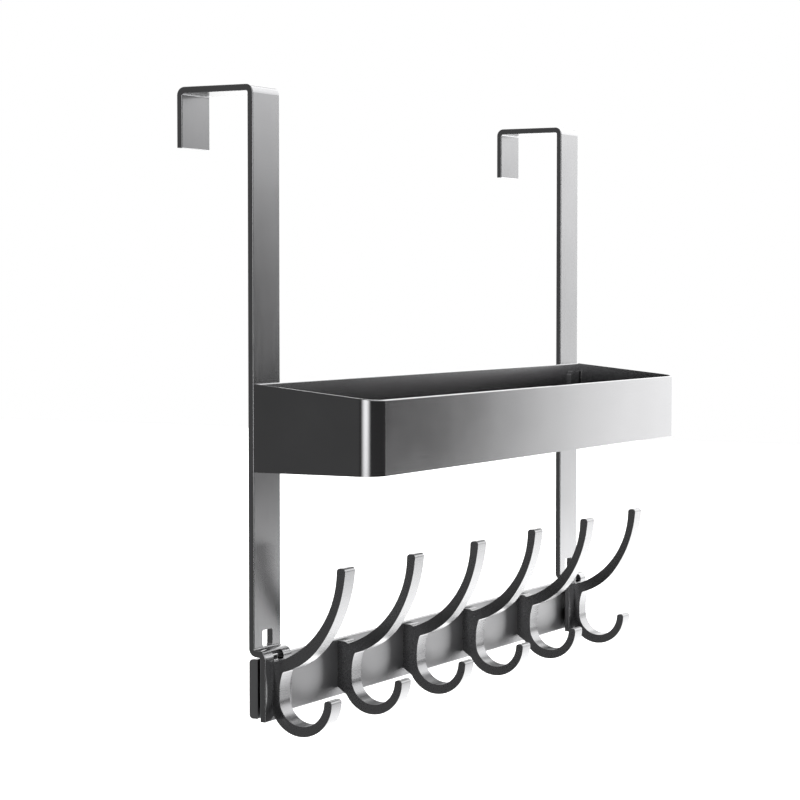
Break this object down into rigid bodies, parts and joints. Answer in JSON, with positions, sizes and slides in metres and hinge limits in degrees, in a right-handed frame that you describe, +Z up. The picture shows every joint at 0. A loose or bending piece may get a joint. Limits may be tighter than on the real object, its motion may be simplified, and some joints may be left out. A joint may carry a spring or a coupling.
{
  "type": "over door hook",
  "caption": "Over-door hanger: bent straps that hang over a door carry an open basket and a rail with double coat hooks.",
  "frame": {"origin": "on the top front edge of the door, halfway between the two straps: the straps' backs lie in Y = 0 and the underside of their webs in Z = 0", "axes": "+X along the rail, to the right for a person who faces the door, +Y into the door and over its top, +Z up"},
  "size_m": [0.385, 0.1127, 0.3206],
  "materials": {
    "dark_metal": "dark gun-metal grey, anodised, smooth and glossy-satin",
    "screw_steel": "darkened steel, satin"
  },
  "bodies": {
    "root": {"left_strap": "dark_metal", "right_strap": "dark_metal", "basket": "dark_metal", "hook_rail": "dark_metal", "hook_1": "dark_metal", "hook_2": "dark_metal", "hook_3": "dark_metal", "hook_4": "dark_metal", "hook_5": "dark_metal", "hook_6": "dark_metal", "rail_screws": "screw_steel", "spacer_washers": "screw_steel", "basket_screws": "screw_steel"}
  },
  "joints": []
}
